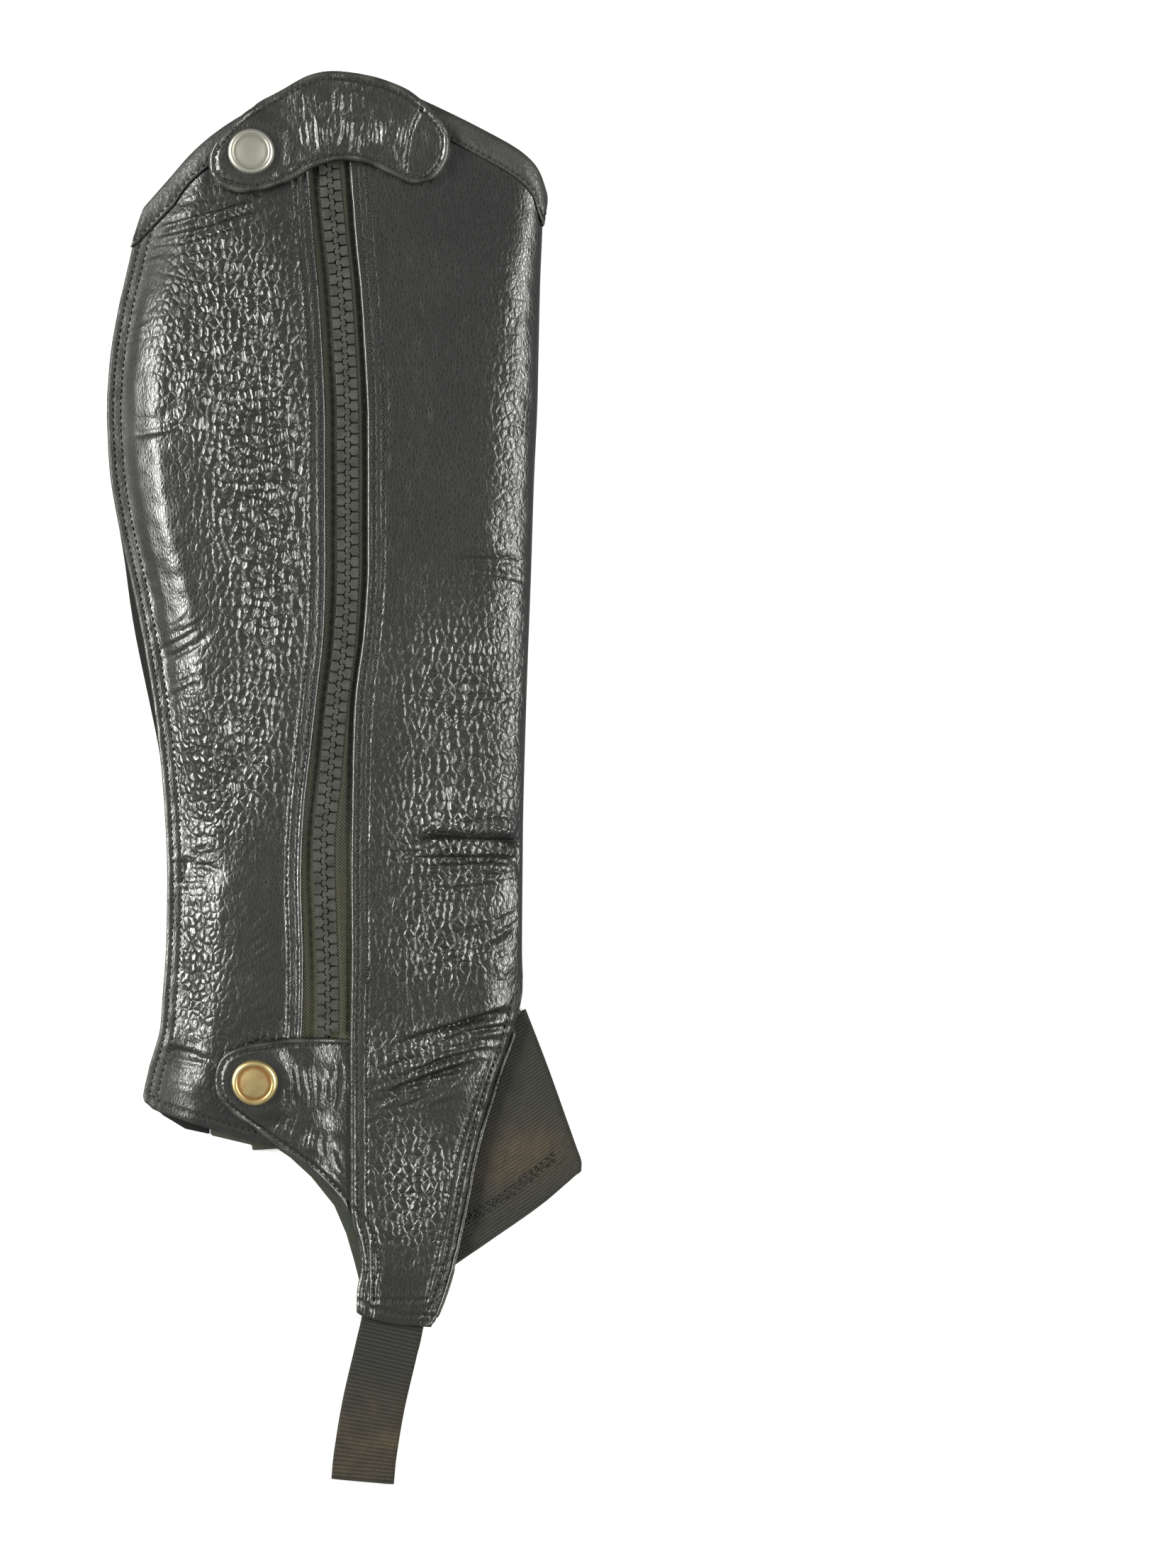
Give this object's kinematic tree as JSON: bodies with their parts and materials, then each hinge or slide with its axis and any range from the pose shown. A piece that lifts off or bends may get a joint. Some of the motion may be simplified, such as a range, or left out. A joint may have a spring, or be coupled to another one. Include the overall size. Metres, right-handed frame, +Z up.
{
  "type": "half chap",
  "caption": "Leather half chap laid flat: zipped calf and shin panels, snap tabs at top and heel, elastic instep gusset and strap under the foot.",
  "frame": {"origin": "centre of the bounding box, on the table top under the chap", "axes": "+Y up the leg towards the top binding, +X towards the shin fold, +Z up from the table, out of the zip side"},
  "size_m": [0.177, 0.5249, 0.021],
  "materials": {
    "leather": "black pebbled grain leather, satin",
    "elastic": "ribbed black elastic webbing, matt",
    "zip_tape": "woven black zip tape, matt",
    "zip_teeth": "moulded black plastic, satin",
    "nickel": "worn nickel plate",
    "brass": "worn brass plate"
  },
  "bodies": {
    "root": {"calf_panel": "leather", "shin_panel": "leather", "inner_leg_panel": "leather", "calf_binding": "leather", "shin_binding": "leather", "inner_leg_binding": "leather", "top_tab": "leather", "heel_tab": "leather", "calf_elastic": "elastic", "instep_gusset": "elastic", "foot_strap": "elastic", "zip_tape_calf": "zip_tape", "zip_tape_shin": "zip_tape", "zip_chain": "zip_teeth", "zip_slider": "zip_teeth", "top_snap": "nickel", "heel_snap": "brass"}
  },
  "joints": []
}
